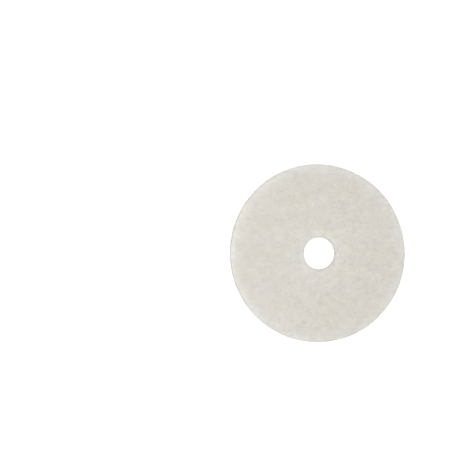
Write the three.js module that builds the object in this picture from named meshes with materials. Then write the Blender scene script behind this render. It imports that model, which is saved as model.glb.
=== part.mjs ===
// A round floor polishing pad: one soft white disc of bonded non-woven fibre with a centre hole.
// It is die-cut from a lofty web, so both faces stay flat and parallel, while the cutting edge
// leaves the rim and the wall of the hole pinched into soft rounded shoulders. The pad works on
// either face. Millimetres, +Z up, the pad lying flat with the centre of its lower face at the
// origin.
import * as THREE from "three";

// Driving dimensions
const PAD_DIAMETER = 432; // a nominal 17 inch pad
const HOLE_DIAMETER = 79; // takes the centre lock of a pad driver
const PAD_THICKNESS = 22; // the loft of the web between the two flat faces
const RIM_REACH = 15; // how far in from the rim the die pinches the web
const RIM_FULLNESS = 3.4; // 2 is an ellipse, and a higher value is a squarer shoulder
const HOLE_REACH = 8; // how far out from the hole the die pinches the web
const HOLE_FULLNESS = 3.4;

// How finely the round forms are cut into flats
const ROUND_STEPS = 120;
const RIM_STEPS = 8; // from a face to mid thickness
const HOLE_STEPS = 6;

const WEB_COLOUR = 0xd9d5cc; // white fibre with a little warmth from its resin

// A shoulder is one quarter of a superellipse, |x / reach|^n + |z / rise|^n = 1 with n the
// fullness. It leaves the flat face and meets the upright wall at mid thickness without a crease.
// The points run from the wall to the face, as distances out from the flat and up from mid height.
function shoulder(reach, rise, fullness, steps) {
  return Array.from({ length: steps + 1 }, (_, i) => {
    const turn = (i / steps) * (Math.PI / 2);
    const out = i === steps ? 0 : reach * Math.cos(turn) ** (2 / fullness);
    const up = rise * Math.sin(turn) ** (2 / fullness);
    return { out, up };
  });
}

// The section of the ring as one closed loop, up the rim, in over the upper face, down the wall
// of the hole and back out under the lower face.
function ringSection() {
  const half = PAD_THICKNESS / 2;
  const rimFlat = PAD_DIAMETER / 2 - RIM_REACH;
  const holeFlat = HOLE_DIAMETER / 2 + HOLE_REACH;
  const rim = shoulder(RIM_REACH, half, RIM_FULLNESS, RIM_STEPS);
  const hole = shoulder(HOLE_REACH, half, HOLE_FULLNESS, HOLE_STEPS);

  const rimUp = rim.map(({ out, up }) => new THREE.Vector2(rimFlat + out, half + up));
  const holeDown = hole.map(({ out, up }) => new THREE.Vector2(holeFlat - out, half + up)).reverse();
  const mirrored = (points) => points.map(({ x, y }) => new THREE.Vector2(x, PAD_THICKNESS - y)).reverse();

  const upper = [...rimUp, ...holeDown];
  const lower = mirrored(upper).slice(1); // both halves share the two points at mid height
  return [...upper, ...lower];
}

function polishingPad() {
  const geometry = new THREE.LatheGeometry(ringSection(), ROUND_STEPS);
  geometry.rotateX(Math.PI / 2); // a lathe turns about Y, and the pad lies flat about Z
  const fibreWeb = new THREE.MeshStandardMaterial({ color: WEB_COLOUR, roughness: 0.95, metalness: 0 });
  const pad = new THREE.Mesh(geometry, fibreWeb);
  pad.name = "polishing_pad";
  return pad;
}

const part = new THREE.Group();
part.add(polishingPad());

export default part;
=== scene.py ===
# %% [markdown]
# # A white floor polishing pad
# The real thing is a disc about 43 cm across, die-cut from a lofty web of crimped white fibres
# that resin holds together where they touch. Seen from a step away it is a soft, matt, slightly
# cloudy disc with a clean round hole. Close up it is all fibres.
# The frame holds the plain solid with the true outer form. This lesson dresses it with a core of
# web, whose surface swells and dips a little, and with single fibres that lie on the core.

import bpy
import numpy as np
from mathutils import Matrix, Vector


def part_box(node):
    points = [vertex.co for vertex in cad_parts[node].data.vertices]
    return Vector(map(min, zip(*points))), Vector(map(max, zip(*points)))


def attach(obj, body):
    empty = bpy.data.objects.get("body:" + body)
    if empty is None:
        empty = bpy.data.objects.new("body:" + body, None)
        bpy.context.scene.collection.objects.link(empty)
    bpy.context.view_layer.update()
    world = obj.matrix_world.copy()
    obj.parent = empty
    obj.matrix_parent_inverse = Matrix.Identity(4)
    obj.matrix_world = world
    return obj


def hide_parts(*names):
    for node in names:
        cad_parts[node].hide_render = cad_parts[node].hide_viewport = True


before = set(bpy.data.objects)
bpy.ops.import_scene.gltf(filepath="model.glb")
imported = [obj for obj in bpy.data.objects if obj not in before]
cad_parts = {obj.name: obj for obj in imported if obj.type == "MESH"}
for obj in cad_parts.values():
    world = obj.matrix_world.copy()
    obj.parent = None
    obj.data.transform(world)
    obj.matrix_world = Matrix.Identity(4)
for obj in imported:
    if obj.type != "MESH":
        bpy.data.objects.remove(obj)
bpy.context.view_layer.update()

# %% [markdown]
# ## Read the sizes from the solid
# Nothing is measured by hand here. The radius and thickness come from the solid's box. The hole
# and the two circles where the flat face ends come from the solid's own vertices, so the lesson
# follows the solid if its sizes change.

# %% Sizes of the pad
low, high = (np.array(corner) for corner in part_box("polishing_pad"))
pad_radius = (high[0] - low[0]) / 2
pad_thickness = high[2] - low[2]

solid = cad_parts["polishing_pad"].data
solid_points = np.empty(len(solid.vertices) * 3)
solid.vertices.foreach_get("co", solid_points)
solid_points = solid_points.reshape(-1, 3)
from_axis = np.hypot(solid_points[:, 0], solid_points[:, 1])
on_top = solid_points[:, 2] > high[2] - 1e-5  # within a hundredth of a millimetre

hole_radius = from_axis.min()
flat_from, flat_to = from_axis[on_top].min(), from_axis[on_top].max()
print(f"radius {pad_radius:.4f}, hole {hole_radius:.4f}, thickness {pad_thickness:.4f} m")
print(f"the flat face runs from {flat_from:.4f} to {flat_to:.4f} m")

# %% [markdown]
# ## Soft random hills
# A fibre web isn't even: the fibres lie thicker in some places, which shows as low hills and as
# lighter and darker clouds. A noise texture could displace the mesh, but a sum of cosine waves is
# a plain formula that works on whole arrays and gives the same hills on each run.

# %% A random field of one wavelength
def soft_hills(points, wavelength, seed, waves=40):
    """The sum of cosine waves that run in random directions with random phases. Their lengths lie
    around the wavelength, and the sum is divided so that its spread is 1."""
    draw = np.random.default_rng(seed)
    directions = draw.normal(size=(3, waves))
    directions /= np.linalg.norm(directions, axis=0)
    lengths = wavelength * draw.uniform(0.7, 1.5, waves)
    phases = draw.uniform(0, 2 * np.pi, waves)
    turns = points.reshape(-1, 3) @ (directions * 2 * np.pi / lengths) + phases
    total = np.cos(turns).sum(axis=1) * np.sqrt(2 / waves)
    return total.reshape(points.shape[:-1])


# %% [markdown]
# ## The section of the ring
# The die squeezes the web as it cuts, so each edge springs back as a rounded shoulder. In section
# that is a quarter of a superellipse between the flat face and the middle of the wall. The core
# lies a little inside the solid, because the loose fibres on top of it fill the rest.

# %% The section as a table of stations
FULLNESS = 3.4  # 2 would be an ellipse, and a higher value is a squarer shoulder
NAP = 0.0005  # how deep the loose fibres lie on the flat faces
RIM_NAP = 0.0002  # and on the rim, where the die packs them
HOLE_NAP = -0.0001  # the soft web closes in on the hole a little
SECTION_STEPS = 400


def shoulder(reach, rise):
    """Points of |x / reach|^n + |z / rise|^n = 1, from the wall at mid height to the face."""
    turn = np.linspace(0, np.pi / 2, SECTION_STEPS)
    return reach * np.cos(turn).clip(0) ** (2 / FULLNESS), rise * np.sin(turn) ** (2 / FULLNESS)


def section_table():
    """The closed section: up the rim, in over the upper face, down the hole and back below. It
    gives the way along it, the distance from the axis, the height and the outward direction."""
    half = pad_thickness / 2
    rim_out, rim_up = shoulder(pad_radius - RIM_NAP - flat_to, half - NAP)
    hole_out, hole_up = shoulder(flat_from - hole_radius - HOLE_NAP, half - NAP)
    upper_r = np.concatenate([flat_to + rim_out, (flat_from - hole_out)[::-1]])
    upper_z = np.concatenate([rim_up, hole_up[::-1]])
    r = np.concatenate([upper_r, upper_r[::-1]])
    z = np.concatenate([upper_z, -upper_z[::-1]]) + half
    step = np.hypot(np.diff(r), np.diff(z))
    kept = np.concatenate([[True], step > 1e-7])
    r, z = r[kept], z[kept]
    way = np.concatenate([[0], np.cumsum(np.hypot(np.diff(r), np.diff(z)))])
    even = np.linspace(0, way[-1], 4 * SECTION_STEPS)
    r, z = np.interp(even, way, r), np.interp(even, way, z)
    slope_r, slope_z = np.gradient(r), np.gradient(z)
    size = np.hypot(slope_r, slope_z)
    return even, r, z, slope_z / size, -slope_r / size


way, way_r, way_z, out_r, out_z = section_table()
print(f"the section is {way[-1]:.4f} m round")

# %% [markdown]
# The rim isn't a true circle either. The soft web gives way under the die and springs back, so it
# stands a millimetre or two out of round. One section table serves all angles, and the waver is
# added to the radius where a point is placed.

# %% Places on the section
OUT_OF_ROUND = ((0, 0.4, 0.0), (1, -1.4, 0.3), (2, 0.9, -0.8))  # turns, cosine, sine, in mm


def rim_waver(angle):
    """How far the rim stands out of true round, in metres: the sum of its cosine and sine waves
    with so many turns in one round."""
    waves = (a * np.cos(n * angle) + b * np.sin(n * angle) for n, a, b in OUT_OF_ROUND)
    return sum(waves) / 1000


def on_section(angle, station, lift=0.0):
    """The point at an angle round the axis and a station along the section, lifted outwards, and
    the outward direction there. Stations wrap round the closed section. The waver of the rim
    grows from nothing at the hole."""
    angle, station = np.broadcast_arrays(angle, station)
    s = np.mod(station, way[-1])
    normal_r, normal_z = np.interp(s, way, out_r), np.interp(s, way, out_z)
    r = np.interp(s, way, way_r)
    r = r + lift * normal_r + rim_waver(angle) * (r - hole_radius) / (pad_radius - hole_radius)
    z = np.interp(s, way, way_z) + lift * normal_z
    place = np.stack([r * np.cos(angle), r * np.sin(angle), z], axis=-1)
    normal = np.stack([normal_r * np.cos(angle), normal_r * np.sin(angle), normal_z], axis=-1)
    return place, normal


# %% [markdown]
# ## The core of the web
# The core is one closed ring: a grid of angles by stations along the section. Its height over the
# smooth section is a sum of wide low hills, where the web was laid thicker, and of small clumps
# of fibre. A flat ring with a bump map would be cheaper, but its edge would stay ruler straight.

# %% The relief of the web
SWELL_LENGTH, SWELL_HEIGHT = 0.120, 0.00025
CLOUD_LENGTH, CLOUD_HEIGHT = 0.030, 0.00011
CLUMP_LENGTH, CLUMP_HEIGHT = 0.0085, 0.00007
TUFT_LENGTH, TUFT_HEIGHT = 0.0045, 0.00005


def web_relief(points):
    """Swells, clouds, clumps and tufts, each a soft random field times its height."""
    return (
        SWELL_HEIGHT * soft_hills(points, SWELL_LENGTH, seed=10)
        + CLOUD_HEIGHT * soft_hills(points, CLOUD_LENGTH, seed=11)
        + CLUMP_HEIGHT * soft_hills(points, CLUMP_LENGTH, seed=12)
        + TUFT_HEIGHT * soft_hills(points, TUFT_LENGTH, seed=13)
    )


# %% Build the core
ROUND_STEPS, STATION_STEPS = 480, 150


def new_piece(name, points, faces):
    """A mesh object from an array of places and an array of faces with equal corners."""
    mesh = bpy.data.meshes.new(name)
    corners = faces.shape[1]
    mesh.vertices.add(len(points))
    mesh.vertices.foreach_set("co", points.astype(np.float32).ravel())
    mesh.loops.add(faces.size)
    mesh.loops.foreach_set("vertex_index", faces.astype(np.int32).ravel())
    mesh.polygons.add(len(faces))
    mesh.polygons.foreach_set("loop_start", np.arange(len(faces), dtype=np.int32) * corners)
    mesh.polygons.foreach_set("use_smooth", np.ones(len(faces), bool))
    mesh.update(calc_edges=True)
    mesh.validate()
    piece = bpy.data.objects.new(name, mesh)
    bpy.context.scene.collection.objects.link(piece)
    return piece


def ring_faces(rounds, stations):
    """Four-sided faces of a grid that closes on itself both ways, facing out of the ring."""
    index = np.arange(rounds * stations).reshape(rounds, stations)
    ahead = np.roll(index, -1, axis=0)
    corners = [index, ahead, np.roll(ahead, -1, axis=1), np.roll(index, -1, axis=1)]
    return np.stack(corners, axis=-1).reshape(-1, 4)


angles = np.linspace(0, 2 * np.pi, ROUND_STEPS, endpoint=False)[:, None]
stations = np.linspace(0, way[-1], STATION_STEPS, endpoint=False)[None, :]
smooth, _ = on_section(angles, stations)
core_points, _ = on_section(angles, stations, web_relief(smooth))
core_points[:, :, 2] = np.maximum(core_points[:, :, 2], 0)
core_faces = ring_faces(ROUND_STEPS, STATION_STEPS)
web_core = new_piece("web_core", core_points.reshape(-1, 3), core_faces)
print("core", 2 * len(web_core.data.polygons), "triangles")

# %% [markdown]
# ## The fibres
# Each fibre is a thin tube with three sides. It starts at a random place, wanders over the core
# with a smoothly changing heading, and dips into the core at both ends, so that no end hangs
# free. Hair curves would be quicker to draw, but they aren't a mesh and can't be a part of it.
# All fibres of a piece are worked out at once, as one array of fibres by points.

# %% Faces of a bundle of tubes
FIBRE_SIDES = 3


def split_walls(walls):
    """Each four-cornered wall as two triangles."""
    return np.concatenate([walls[:, [0, 1, 2]], walls[:, [0, 2, 3]]])


def tube_faces(count, points):
    """Triangles round and along each tube, and one triangle that closes each end."""
    index = np.arange(count * points * FIBRE_SIDES).reshape(count, points, FIBRE_SIDES)
    here, ahead = index[:, :-1], index[:, 1:]
    walls = [here, np.roll(here, -1, axis=2), np.roll(ahead, -1, axis=2), ahead]
    walls = np.stack(walls, axis=-1).reshape(-1, 4)
    return np.concatenate([split_walls(walls), index[:, 0, ::-1], index[:, -1]])


# %% [markdown]
# A fibre also gets a place on a map, for tools that bake the finish into a picture. An automatic
# unwrap would cut thousands of thin tubes into shreds. Here each fibre has a small square of its
# own, with its walls side by side along it and its two ends in the last tenth.

# %% The map of a bundle
CELL_MARGIN = 0.12  # of a square, on each side
WALLS_TO, ENDS_FROM = 0.85, 0.9  # along the square
END_WIDTH, LAST_END_AT = 0.4, 0.6  # across it


def tube_map(count, points):
    """Map places of all corners, in the order of tube_faces. Square number i of n by n squares is
    in column i mod n and row i / n."""
    along = np.linspace(0, WALLS_TO, points)
    across = np.linspace(0, 1, FIBRE_SIDES + 1)
    u = np.stack([along[:-1], along[:-1], along[1:], along[1:]], axis=-1)[:, None, :]
    v = np.stack([across[:-1], across[1:], across[1:], across[:-1]], axis=-1)[None, :, :]
    walls = np.stack(np.broadcast_arrays(u, v), axis=-1).reshape(-1, 4, 2)
    first_end = np.array([[[ENDS_FROM, 0.0], [1.0, 0.0], [ENDS_FROM, END_WIDTH]]])
    last_end = first_end + [0, LAST_END_AT]
    side = int(np.ceil(np.sqrt(count)))
    number = np.arange(count)
    square = np.stack([number % side, number // side], axis=-1)[:, None, None, :]
    inside = 1 - 2 * CELL_MARGIN
    placed = [square + CELL_MARGIN + inside * part for part in (walls, first_end, last_end)]
    walls, *ends = [part.reshape(-1, part.shape[2], 2) / side for part in placed]
    return np.concatenate([split_walls(walls), *ends])


# %% Tubes along many paths
def tubes(name, paths, normals, thickness, shades):
    """A closed three-sided tube along each path, with a flat side up. Each ring is the path's
    point plus the radius times the cosine of the side direction and the sine of the up one."""
    count, points = paths.shape[:2]
    along = np.gradient(paths, axis=1)
    along /= np.linalg.norm(along, axis=2, keepdims=True)
    side = np.cross(along, normals)
    side /= np.linalg.norm(side, axis=2, keepdims=True)
    up = np.cross(side, along)
    turn = ((np.arange(FIBRE_SIDES) + 0.25) / FIBRE_SIDES * 2 * np.pi)[:, None]
    radius = (thickness / 2)[:, None, None, None]
    ring = np.cos(turn) * side[:, :, None] + np.sin(turn) * up[:, :, None]
    places = (paths[:, :, None] + radius * ring).reshape(-1, 3)
    places[:, 2] = np.maximum(places[:, 2], 0)

    piece = new_piece(name, places, tube_faces(count, points))
    flat_map = piece.data.uv_layers.new(name="OFBake")
    flat_map.uv.foreach_set("vector", tube_map(count, points).astype(np.float32).ravel())
    shade = piece.data.attributes.new("shade", "FLOAT", "POINT")
    shade.data.foreach_set("value", np.repeat(shades, points * FIBRE_SIDES).astype(np.float32))
    print(name, len(piece.data.polygons), "triangles")
    return piece


# %% Wandering fibres
SUNK = 0.0004  # how far a fibre's ends lie inside the core
CRIMP = 0.0125  # metres over which a fibre swings once from side to side
CURL, SWING = 2.4, 2.6  # how hard it bends one way, and from side to side
THIN, THICK = 0.7, 1.3  # the thinnest and thickest fibre, as shares of the mean
SHADE_SPREAD = 0.05  # how much one fibre is lighter or darker than the next


def wander(draw, count, points, length, first, last):
    """Angles and stations of paths that wander over the section between two stations. The start
    is spread evenly over the surface, the heading turns with a random bend that itself changes,
    and each step moves cos(heading) along the section and sin(heading) round the axis."""
    table = np.linspace(first, last, 600)
    weight = np.cumsum(np.interp(np.mod(table, way[-1]), way, way_r))
    start = np.interp(draw.uniform(weight[0], weight[-1], count), weight, table)
    step = (length / (points - 1))[:, None]
    swings = (length / CRIMP)[:, None]
    at = np.arange(points)[None, :] / (points - 1)
    phase = draw.uniform(0.6, 1.5, (count, 1)) * swings * at + draw.uniform(0, 1, (count, 1))
    bend = draw.normal(0, CURL, (count, 1)) + SWING * swings * np.sin(2 * np.pi * phase)
    heading = draw.uniform(0, 2 * np.pi, (count, 1)) + np.cumsum(bend, axis=1) / points
    station = start[:, None] + np.cumsum(np.cos(heading) * step, axis=1)
    r = np.interp(np.mod(station, way[-1]), way, way_r)
    turned = np.cumsum(np.sin(heading) * step / r, axis=1)
    return draw.uniform(0, 2 * np.pi, (count, 1)) + turned, station


def lay_fibres(name, seed, count, first, last, points=7, length=0.0125, thickness=0.00022):
    """Fibres that arch over the core: the lift is a half sine wave, made fuller by a power below
    1, from inside the core, up to a random height in the nap, and back in."""
    draw = np.random.default_rng(seed)
    lengths = length * draw.uniform(0.7, 1.4, count)
    angle, station = wander(draw, count, points, lengths, first, last)
    arch = np.sin(np.pi * np.linspace(0, 1, points))[None, :]
    top = draw.uniform(0.1, 1.3, (count, 1)) * NAP
    under, _ = on_section(angle, station)
    lift = web_relief(under) + (top + SUNK) * arch ** 0.7 - SUNK
    paths, normals = on_section(angle, station, lift)
    thick = thickness * draw.uniform(THIN, THICK, count)
    return tubes(name, paths, normals, thick, draw.normal(1, SHADE_SPREAD, count))


# %% [markdown]
# Stations start half-way up the rim's wall, so the hole's wall is half-way round the section.
# The upper face gets two kinds of fibre, short thick ones and long thin ones. The walls get
# pieces of their own, because they show edge on and need their fibres closer together.

# %% Lay them on faces, rim and hole
hole_at = way[-1] / 2
wall = pad_thickness / 2
long_thin = {"points": 13, "length": 0.026, "thickness": 0.00017}
fibre_pieces = [
    lay_fibres("upper_fibres", 21, 5000, wall, hole_at - wall),
    lay_fibres("upper_nap", 22, 2550, wall, hole_at - wall, **long_thin),
    lay_fibres("lower_fibres", 23, 4000, hole_at + wall, way[-1] - wall),
    lay_fibres("rim_fibres", 24, 4000, -wall, wall),
    lay_fibres("hole_fibres", 25, 650, hole_at - wall, hole_at + wall),
]


# %% [markdown]
# The die leaves cut ends all round the rim and the hole. Each is a short fibre that starts inside
# the core and leans out of the wall by a millimetre or so, which softens the outline.

# %% Cut ends on the walls
def cut_ends(name, seed, count, middle, length=0.0014, thickness=0.00018, points=4):
    """Fibres that leave the wall along its outward direction, while the angle and the station
    drift to one side with the square of the way, so that each end leans over."""
    draw = np.random.default_rng(seed)
    at = np.linspace(0, 1, points)[None, :]
    lengths = length * draw.uniform(0.2, 1.0, (count, 1)) ** 1.5
    r = np.interp(middle % way[-1], way, way_r)
    lean = draw.normal(0, 0.9, (2, count, 1)) * lengths * at ** 2
    angle = draw.uniform(0, 2 * np.pi, (count, 1)) + lean[0] / r
    station = middle + draw.uniform(-wall, wall, (count, 1)) + lean[1]
    paths, _ = on_section(angle, station, (lengths + SUNK) * at - SUNK)
    thick = thickness * draw.uniform(THIN, THICK, count)
    sideways = np.stack([-np.sin(angle), np.cos(angle), 0 * angle], axis=-1)
    return tubes(name, paths, sideways, thick, draw.normal(1, SHADE_SPREAD, count))


fibre_pieces += [
    cut_ends("rim_ends", 31, 3600, 0.0),
    cut_ends("hole_ends", 32, 650, hole_at),
]

# %% [markdown]
# ## Bonded fibre finish
# The finish is a matt off-white. Close up, bright lines of fibre cross over darker gaps, whose
# darkness is painted shade where the web lies deeper. Each layer of lines is a wave texture, bent
# by its own distortion and turned its own way, of which only the crests are kept. A second noise
# lets the lines of a layer come and go, and the highest layer wins at each place. The same web
# with finer lines lies deeper, in the gaps, and is painted darker too. Wide soft clouds then
# lighten and darken the whole web a little.
# The pattern reads Object coordinates, so it sits still on the pad.

# %% Small helpers for nodes
def node(tree, kind, inputs=(), **settings):
    """A new shader node with its settings, and its inputs joined or filled in."""
    made = tree.nodes.new(kind)
    for key, value in settings.items():
        setattr(made, key, value)
    for key, value in dict(inputs).items():
        if isinstance(value, bpy.types.NodeSocket):
            tree.links.new(value, made.inputs[key])
        else:
            made.inputs[key].default_value = value
    return made


def maths(tree, operation, first, second=0.0):
    """One number from one or two."""
    return node(tree, "ShaderNodeMath", {0: first, 1: second}, operation=operation).outputs[0]


def vector_maths(tree, operation, sockets, output=0):
    """One vector or number from one or two vectors."""
    return node(tree, "ShaderNodeVectorMath", sockets, operation=operation).outputs[output]


def spread(tree, value, low_in, high_in, low_out, high_out, kind="LINEAR"):
    """A number moved from one range to another, and held at its ends."""
    sockets = {
        "Value": value,
        "From Min": low_in,
        "From Max": high_in,
        "To Min": low_out,
        "To Max": high_out,
    }
    return node(tree, "ShaderNodeMapRange", sockets, interpolation_type=kind).outputs[0]


def noise(tree, place, scale, detail=0.0):
    """A noise texture of so many cells in a metre."""
    sockets = {"Vector": place, "Scale": scale, "Detail": detail}
    return node(tree, "ShaderNodeTexNoise", sockets)


# %% The web's pattern
WAVE_TURN = 2 * np.pi / 20  # a wave texture of scale 1 repeats after this many metres
CREST = 0.93  # a wave's height above which it is a fibre
MASK_CELLS = (0.22, 0.28)  # cells in one gap, for the noises that let the lines come and go
GONE, THERE = 0.42, 0.5  # the noise at which a line is gone, and at which it is all there
LEAN, NOD = 0.35, 0.25  # radians by which a layer is tipped, so that it also marks the walls
CLOSER, LOWER = 0.07, 0.12  # how much closer and lower each next layer's lines are


def tangle(tree, place, gap, layers, first_turn):
    """The height of the highest fibre line, from 0 in a gap to 1 on the uppermost layer. The
    lines of the first layer lie a gap apart. A noise's three colours mask three layers."""
    masks = []
    for cells in MASK_CELLS:
        mixed = noise(tree, place, cells / gap).outputs["Color"]
        masks += list(node(tree, "ShaderNodeSeparateColor", {0: mixed}).outputs)
    highest = None
    for layer in range(layers):
        tilt = (LEAN * (-1) ** layer, NOD, first_turn + np.pi * layer / layers)
        turned = node(tree, "ShaderNodeMapping", {"Vector": place, "Rotation": tilt})
        sockets = {
            "Vector": turned.outputs[0],
            "Scale": WAVE_TURN / gap / (1 - CLOSER * layer),
            "Distortion": 9.0,
            "Detail": 0.5,
            "Detail Scale": 0.8 + 0.12 * layer,
        }
        wave = node(tree, "ShaderNodeTexWave", sockets).outputs["Fac"]
        line = spread(tree, wave, CREST, 1.0, 0.0, 1.0 - LOWER * layer, "SMOOTHSTEP")
        there = spread(tree, masks[layer], GONE, THERE, 0.0, 1.0)
        line = maths(tree, "MULTIPLY", line, there)
        highest = line if highest is None else maths(tree, "MAXIMUM", highest, line)
    return highest


# %% [markdown]
# Light that comes in through the cut walls is painted into the colour: a painted glow mixes the
# web's colour towards white near the rim and the hole. It falls off with the distance from the
# wall, faster at the rim than at the hole. On the rim's own wall the painted glow fades out
# towards half-way up, so that wall stays as dull as the middle of the pad.

# %% Painted glow towards the cut walls
# the painted glow: a share of white mixed into the colour at the wall, fading inwards
RIM_PAINTED_GLOW, RIM_FADE = 0.75, 0.010  # the share of white at the wall, and the fade in metres
HOLE_PAINTED_GLOW, HOLE_FADE = 0.31, 0.020


def painted_wall_glow(tree, r, wall_at, sign, painted_share, fade):
    """The painted glow: its share times e^(-distance / fade), by the distance from the wall at a
    radius.
    """
    distance = maths(tree, "MULTIPLY", maths(tree, "SUBTRACT", r, wall_at), sign / fade)
    distance = maths(tree, "MAXIMUM", distance, 0.0)
    fall = maths(tree, "EXPONENT", maths(tree, "MULTIPLY", distance, -1.0))
    return maths(tree, "MULTIPLY", fall, painted_share)


def painted_edge_glow(tree, place):
    """The painted glow of the hole plus that of the rim. The rim's is times (2 z / thickness -
    1)^2, which is 1 on both faces and 0 half-way up the wall."""
    flat = vector_maths(tree, "MULTIPLY", {0: place, 1: (1, 1, 0)})
    r = vector_maths(tree, "LENGTH", {0: flat}, "Value")
    z = node(tree, "ShaderNodeSeparateXYZ", {0: place}).outputs["Z"]
    from_middle = maths(tree, "SUBTRACT", maths(tree, "MULTIPLY", z, 2 / pad_thickness), 1.0)
    rim = painted_wall_glow(tree, r, pad_radius, -1, RIM_PAINTED_GLOW, RIM_FADE)
    rim = maths(tree, "MULTIPLY", rim, maths(tree, "MULTIPLY", from_middle, from_middle))
    return maths(tree, "ADD", rim, painted_wall_glow(tree, r, hole_radius, 1, HOLE_PAINTED_GLOW, HOLE_FADE))


# %% Parts of the web's colour
FIBRE_WHITE = (0.856, 0.825, 0.766, 1.0)
LINE_WHITE = (0.795, 0.764, 0.704, 1.0)
# the gaps' colour, darker as painted shade where the web lies deeper
GAP_PAINTED_SHADE = (0.631, 0.603, 0.548, 1.0)
# the white that the painted glow mixes in near the rim and the hole
PAINTED_GLOW_WHITE = (0.885, 0.885, 0.87, 1.0)
WARM_TINT, COOL_TINT = (1.005, 1.0, 0.982, 1.0), (0.995, 1.0, 1.018, 1.0)
CLOUDS = 0.033  # how much the clouds lighten and darken the web
CLOUD_CELLS, RESIN_CELLS = 70.0, 22.0  # in a metre
NOISE_LOW, NOISE_HIGH = 0.3, 0.7  # nearly all of a noise lies between these


def blend(tree, share, first, second):
    """A colour between two, by share."""
    sockets = {0: share, 6: first, 7: second}
    return node(tree, "ShaderNodeMix", sockets, data_type="RGBA").outputs[2]


def web_shader(tree, place, colour, shade, extra=()):
    """The web's shader: a painted glow that whitens it towards the walls, times the shade and the
    clouds, times a tint that is warm where more resin has gathered."""
    cloud = noise(tree, place, CLOUD_CELLS, detail=2.0).outputs["Fac"]
    cloud = spread(tree, cloud, NOISE_LOW, NOISE_HIGH, 1 - CLOUDS, 1 + CLOUDS)
    shade = maths(tree, "MULTIPLY", cloud, shade)
    resin = noise(tree, place, RESIN_CELLS, detail=1.0).outputs["Fac"]
    resin = spread(tree, resin, NOISE_LOW, NOISE_HIGH, 0.0, 1.0)
    tint = blend(tree, resin, COOL_TINT, WARM_TINT)
    # painted glow: the colour is mixed towards white near the rim and the hole
    colour = blend(tree, painted_edge_glow(tree, place), colour, PAINTED_GLOW_WHITE)
    colour = vector_maths(tree, "MULTIPLY", {0: colour, 1: tint})
    colour = vector_maths(tree, "SCALE", {0: colour, "Scale": shade})
    sockets = {
        "Base Color": colour,
        "Roughness": 0.9,
        "Sheen Weight": 0.1,
        "Sheen Roughness": 0.5,
        "Specular IOR Level": 0.3,
    }
    sockets.update(extra)
    shader = node(tree, "ShaderNodeBsdfPrincipled", sockets)
    node(tree, "ShaderNodeOutputMaterial", {0: shader.outputs[0]})


def new_material(name):
    """An empty node material, its tree and its Object coordinates."""
    material = bpy.data.materials.new(name)
    material.use_nodes = True
    tree = material.node_tree
    tree.nodes.clear()
    return material, tree, node(tree, "ShaderNodeTexCoord").outputs["Object"]


# %% The core's material
LINE_GAP, DEEP_GAP = 0.0030, 0.0016  # metres between the lines of one layer
DEEP_HEIGHT = 0.5  # of the upper lines' height
BUMP_DEPTH = 0.00035

bonded_web, tree, place = new_material("bonded_web")
near = tangle(tree, place, LINE_GAP, layers=6, first_turn=0.0)
deep = tangle(tree, place, DEEP_GAP, layers=4, first_turn=0.3)
deep = maths(tree, "MULTIPLY", deep, DEEP_HEIGHT)
height = maths(tree, "MAXIMUM", near, deep)
bump = node(tree, "ShaderNodeBump", {"Height": height, "Distance": BUMP_DEPTH, "Strength": 0.8})
# painted shade: the colour runs from the lines' white down to the darker gap colour by the
# height, so lower lines and gaps are painted darker
lines_and_painted_gap_shade = blend(tree, height, GAP_PAINTED_SHADE, LINE_WHITE)
web_shader(tree, place, lines_and_painted_gap_shade, 1.0, {"Normal": bump.outputs[0]})
web_core.data.materials.append(bonded_web)

# %% [markdown]
# The loose fibres are thinner than the painted lines, so they need no bump. Each has one shade,
# from the attribute that its piece carries.

# %% The loose fibres' material
loose_fibre, tree, place = new_material("loose_fibre")
one_shade = node(tree, "ShaderNodeAttribute", attribute_name="shade").outputs["Fac"]
web_shader(tree, place, FIBRE_WHITE, one_shade)
for piece in fibre_pieces:
    piece.data.materials.append(loose_fibre)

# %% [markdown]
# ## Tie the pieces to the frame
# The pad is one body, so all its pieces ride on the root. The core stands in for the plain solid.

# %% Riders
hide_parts("polishing_pad")
for piece in [web_core, *fibre_pieces]:
    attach(piece, "root")

# %% [markdown]
# ## Floor and light
# The pad lies on a pale floor so bright that it burns out to white, as on a light table. The
# floor doesn't light the pad. The sky does, evenly from above and from the sides and less from
# straight below, so the walls are a little darker than the faces. A soft lamp high on the left
# makes that side lighter, and a weak one stands low at the near left.

# %% A pale floor
FLOOR_RADIUS, FLOOR_POINTS = 20.0, 64
floor_turn = np.linspace(0, 2 * np.pi, FLOOR_POINTS, endpoint=False)
floor_edge = np.stack([np.cos(floor_turn), np.sin(floor_turn), 0 * floor_turn], axis=-1)
floor_edge *= FLOOR_RADIUS
floor_mesh = bpy.data.meshes.new("floor")
floor_mesh.from_pydata(floor_edge.tolist(), [], [list(range(FLOOR_POINTS))])
floor = bpy.data.objects.new("floor", floor_mesh)
bpy.context.scene.collection.objects.link(floor)

pale = bpy.data.materials.new("pale_floor")
pale.use_nodes = True
pale_shader = pale.node_tree.nodes["Principled BSDF"]
pale_shader.inputs["Base Color"].default_value = (0.35, 0.35, 0.35, 1)
pale_shader.inputs["Roughness"].default_value = 0.9
pale_shader.inputs["Specular IOR Level"].default_value = 0.0
pale_shader.inputs["Emission Color"].default_value = (1, 1, 1, 1)
pale_shader.inputs["Emission Strength"].default_value = 0.85
floor_mesh.materials.append(pale)
floor.visible_diffuse = False

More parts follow.
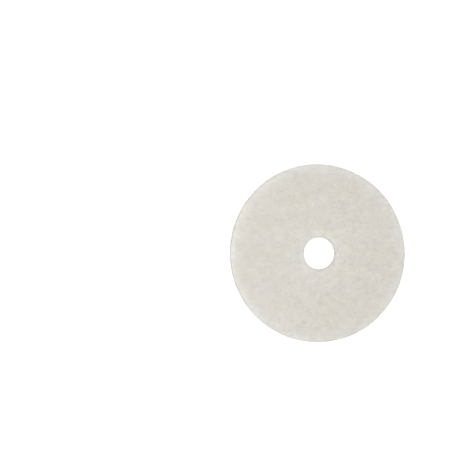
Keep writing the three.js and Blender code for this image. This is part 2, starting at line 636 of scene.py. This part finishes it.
# %% A white sky
SKY_LIGHT = 1.018  # above the horizon, and from a little below it
UNDER_LIGHT = 0.7  # from straight below
DULL_AT, BRIGHT_AT = -0.75, -0.3  # the heights of a direction between which it changes
world = bpy.data.worlds.new("even_sky")
world.use_nodes = True
sky = world.node_tree
heading = node(sky, "ShaderNodeTexCoord").outputs["Generated"]
upward = node(sky, "ShaderNodeSeparateXYZ", {0: heading}).outputs["Z"]
strength = spread(sky, upward, DULL_AT, BRIGHT_AT, UNDER_LIGHT, SKY_LIGHT)
sky.links.new(strength, sky.nodes["Background"].inputs["Strength"])
sky.nodes["Background"].inputs["Color"].default_value = (1, 1, 1, 1)
bpy.context.scene.world = world


# %% Two soft lamps
def soft_lamp(name, place, size, power):
    """A round area lamp that looks at the middle of the pad. Its own axes are across the way to
    the pad, square to both, and straight back from the pad."""
    data = bpy.data.lights.new(name, "AREA")
    data.shape = "DISK"
    data.size = size
    data.energy = power
    lamp = bpy.data.objects.new(name, data)
    back = np.array(place) / np.linalg.norm(place)
    across = np.cross([0, 0, 1], back)
    across /= np.linalg.norm(across)
    turn = Matrix(np.stack([across, np.cross(back, across), back], axis=1).tolist())
    lamp.matrix_world = Matrix.LocRotScale(place, turn.to_quaternion(), None)
    bpy.context.scene.collection.objects.link(lamp)


soft_lamp("left_lamp", place=(-0.9, 0.0, 1.1), size=0.5, power=2.85)
soft_lamp("low_lamp", place=(-0.7, -1.4, 0.2), size=0.4, power=0.9)
bpy.context.scene.view_settings.view_transform = "Standard"

# %% [markdown]
# ## The camera
# The photograph looks down on the pad from a little to its left, from about 1.7 metres. The frame
# shows the pad right of the middle and below it. The values give the focal length, the place of
# the pad's middle and the pad's radius in pixels of a 450 pixel frame, and two angles by which
# the pad turns from the camera. The place and the turn of the camera follow from them.

# %% Camera at the photograph's angle
PHOTO_SIDE = 450
FOCAL_PX = 713.8
PAD_MIDDLE_PX = (320.3, 253.5)
PAD_RADIUS_PX = 89.5
TURN_SIDEWAYS, TURN_UP = np.radians([8.06, 0.19])

depth = FOCAL_PX / PAD_RADIUS_PX * pad_radius
right_px = PAD_MIDDLE_PX[0] - PHOTO_SIDE / 2
up_px = PHOTO_SIDE / 2 - PAD_MIDDLE_PX[1]
pad_middle = np.array([right_px, up_px, -FOCAL_PX]) * (depth / FOCAL_PX)

side_sin, side_cos = np.sin(TURN_SIDEWAYS), np.cos(TURN_SIDEWAYS)
up_sin, up_cos = np.sin(TURN_UP), np.cos(TURN_UP)
pad_x = np.array([side_cos, 0, -side_sin])
pad_z = np.array([side_sin * up_cos, up_sin, side_cos * up_cos])
camera_turn = np.array([pad_x, np.cross(pad_z, pad_x), pad_z])
camera_place = [0, 0, pad_thickness] - camera_turn @ pad_middle

camera_data = bpy.data.cameras.new("camera")
camera_data.sensor_width = 36.0
camera_data.lens = FOCAL_PX / PHOTO_SIDE * camera_data.sensor_width
camera = bpy.data.objects.new("camera", camera_data)
quaternion = Matrix(camera_turn.tolist()).to_quaternion()
camera.matrix_world = Matrix.LocRotScale(camera_place.tolist(), quaternion, None)
bpy.context.scene.collection.objects.link(camera)
bpy.context.scene.camera = camera
print("camera at", camera_place.round(3), "lens", round(camera_data.lens, 1))
